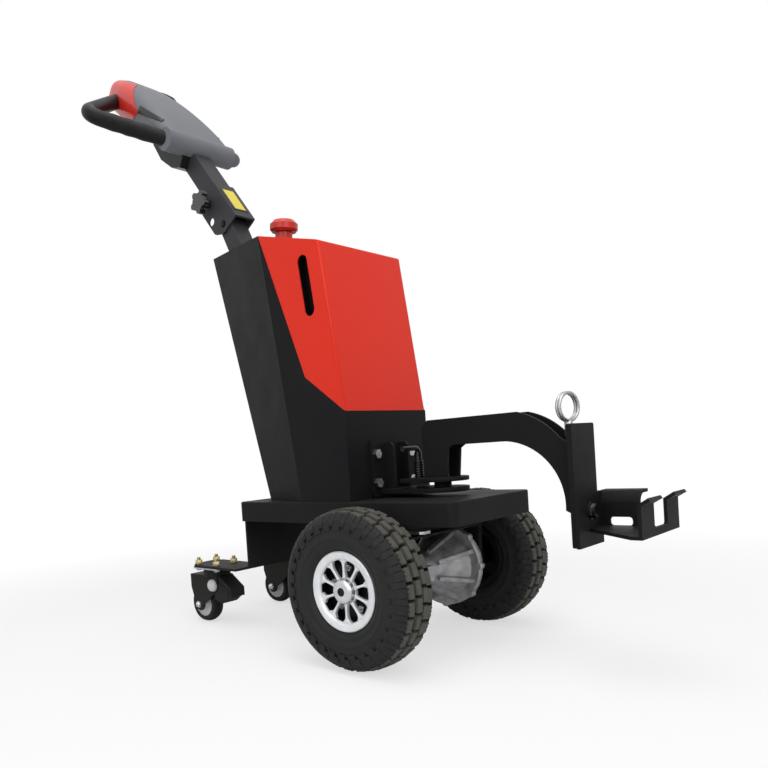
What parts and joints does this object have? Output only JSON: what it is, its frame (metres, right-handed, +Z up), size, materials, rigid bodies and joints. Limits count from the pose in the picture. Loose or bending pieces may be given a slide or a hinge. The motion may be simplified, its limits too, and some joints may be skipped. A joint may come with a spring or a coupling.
{
  "type": "electric tow tractor",
  "caption": "Walk-behind electric tow tractor with a red cover, black column, tilting tiller, block-tread drive wheels, rear casters and a swinging tow arm with hook.",
  "frame": {"origin": "on the ground under the middle of the machine", "axes": "+X to the tow hitch, +Y to the machine's far side in the picture, +Z up"},
  "size_m": [1.2813, 0.465, 1.3372],
  "materials": {
    "black_paint": "satin black powder coat",
    "red_paint": "gloss red",
    "red_plastic": "satin red moulding",
    "grey_plastic": "matt mid grey moulding",
    "black_plastic": "matt black moulding",
    "tyre": "matt",
    "rubber": "matt",
    "alloy": "cast and machined",
    "zinc": "zinc plated",
    "steel": "plain",
    "battery": "matt case",
    "light_grey": "satin",
    "yellow": "printed plate, left blank"
  },
  "bodies": {
    "chassis": {"platform": "black_paint", "column": "black_paint", "cover": "red_paint", "battery": "battery", "estop": "red_plastic", "tiller_post": "black_paint", "pivot_bolt": "zinc", "swing_mount": "black_paint", "mount_bolts": "zinc", "king_bolt": "zinc", "transaxle": "alloy", "motor": "black_paint", "axle_hanger": "black_paint", "caster_plate_near": "zinc", "caster_plate_far": "zinc"},
    "tow_arm": {"tow_arm": "black_paint", "hitch_plate": "black_paint", "hook_bracket": "black_paint", "drop_pin": "zinc", "lock_plunger": "black_paint"},
    "tiller": {"tiller_channel": "black_paint", "tiller_tube": "black_paint", "head_shell": "grey_plastic", "head_base": "black_plastic", "handle_loops": "black_plastic", "belly_button": "red_plastic", "throttle_paddles": "black_plastic", "star_knob": "black_plastic", "info_plate": "yellow"},
    "drive_wheel_near": {"tyre_near": "tyre", "rim_near": "alloy", "axle_shaft_near": "steel"},
    "caster_swivel_near": {"caster_fork_near": "black_paint", "caster_bolt_near": "zinc"},
    "caster_wheel_near": {"caster_core_near": "light_grey", "caster_tread_near": "rubber"},
    "drive_wheel_far": {"tyre_far": "tyre", "rim_far": "alloy", "axle_shaft_far": "steel"},
    "caster_swivel_far": {"caster_fork_far": "black_paint", "caster_bolt_far": "zinc"},
    "caster_wheel_far": {"caster_core_far": "light_grey", "caster_tread_far": "rubber"}
  },
  "joints": [
    {"name": "tow_arm_swing", "type": "hinge", "parent": "chassis", "child": "tow_arm", "pos_m": [0.27766, 0, 0.29], "axis": [0, 0, 1], "range_deg": [-40, 40]},
    {"name": "tiller_tilt", "type": "hinge", "parent": "chassis", "child": "tiller", "pos_m": [-0.22934, 0, 0.868], "axis": [0, 1, 0], "range_deg": [-30, 25]},
    {"name": "drive_wheel_spin_near", "type": "hinge", "parent": "chassis", "child": "drive_wheel_near", "pos_m": [0.22766, -0.19, 0.13], "axis": [0, 1, 0], "continuous": true},
    {"name": "caster_swivel_near", "type": "hinge", "parent": "chassis", "child": "caster_swivel_near", "pos_m": [-0.23534, -0.108, 0.12], "axis": [0, 0, 1], "continuous": true},
    {"name": "caster_spin_near", "type": "hinge", "parent": "caster_swivel_near", "child": "caster_wheel_near", "pos_m": [-0.27434, -0.108, 0.04], "axis": [0, 1, 0], "continuous": true},
    {"name": "drive_wheel_spin_far", "type": "hinge", "parent": "chassis", "child": "drive_wheel_far", "pos_m": [0.22766, 0.19, 0.13], "axis": [0, 1, 0], "continuous": true},
    {"name": "caster_swivel_far", "type": "hinge", "parent": "chassis", "child": "caster_swivel_far", "pos_m": [-0.23534, 0.108, 0.12], "axis": [0, 0, 1], "continuous": true},
    {"name": "caster_spin_far", "type": "hinge", "parent": "caster_swivel_far", "child": "caster_wheel_far", "pos_m": [-0.27434, 0.108, 0.04], "axis": [0, 1, 0], "continuous": true}
  ]
}
